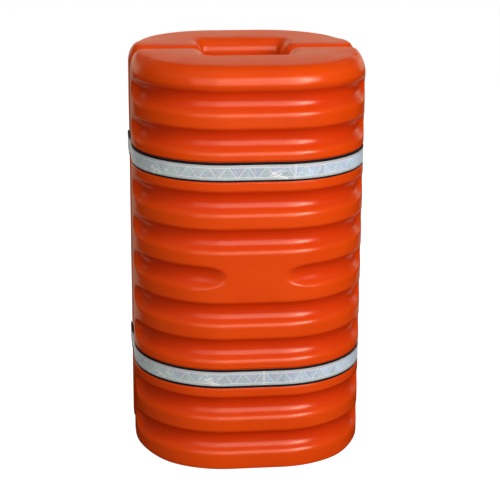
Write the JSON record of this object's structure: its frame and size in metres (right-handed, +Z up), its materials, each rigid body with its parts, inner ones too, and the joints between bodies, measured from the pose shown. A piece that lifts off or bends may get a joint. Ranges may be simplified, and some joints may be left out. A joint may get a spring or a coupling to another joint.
{
  "type": "column protector",
  "caption": "Hollow ribbed plastic halves that close round a building column and are held by hook-and-loop straps faced with reflective tape.",
  "frame": {"origin": "centre of the column passage at floor level", "axes": "+Z up along the column, X along the seam between the halves, front half on the -Y side"},
  "size_m": [0.6133, 0.6396, 1.0668],
  "materials": {
    "moulded_shell": "blow-moulded polyethylene, satin with a fine grain",
    "webbing": "tightly woven black polypropylene",
    "reflective_tape": "silver prismatic sheeting with a sealed lattice",
    "loop_pile": "black loop pile",
    "hook_sheet": "black moulded hooks on a woven backing"
  },
  "bodies": {
    "front_half": {"front_shell": "moulded_shell", "upper_front_webbing": "webbing", "upper_front_tape_left": "reflective_tape", "upper_front_tape_right": "reflective_tape", "lower_front_webbing": "webbing", "lower_front_tape_left": "reflective_tape", "lower_front_tape_right": "reflective_tape"},
    "rear_half": {"rear_shell": "moulded_shell", "upper_rear_webbing": "webbing", "upper_rear_tape": "reflective_tape", "upper_loop_pad": "loop_pile", "lower_rear_webbing": "webbing", "lower_rear_tape": "reflective_tape", "lower_loop_pad": "loop_pile"},
    "upper_tail": {"upper_closing_tail": "webbing", "upper_hook_pad": "hook_sheet", "upper_tail_tape": "reflective_tape"},
    "lower_tail": {"lower_closing_tail": "webbing", "lower_hook_pad": "hook_sheet", "lower_tail_tape": "reflective_tape"}
  },
  "joints": [
    {"name": "rear_half_swing", "type": "hinge", "parent": "front_half", "child": "rear_half", "pos_m": [0.3041, 0, 0.529], "axis": [0, 0, -1], "range_deg": [0, 120]},
    {"name": "upper_tail_peel", "type": "hinge", "parent": "front_half", "child": "upper_tail", "pos_m": [-0.3041, -0.014, 0.80335], "axis": [0, 0, 1], "range_deg": [0, 140]},
    {"name": "lower_tail_peel", "type": "hinge", "parent": "front_half", "child": "lower_tail", "pos_m": [-0.3041, -0.014, 0.25465], "axis": [0, 0, 1], "range_deg": [0, 140]}
  ]
}
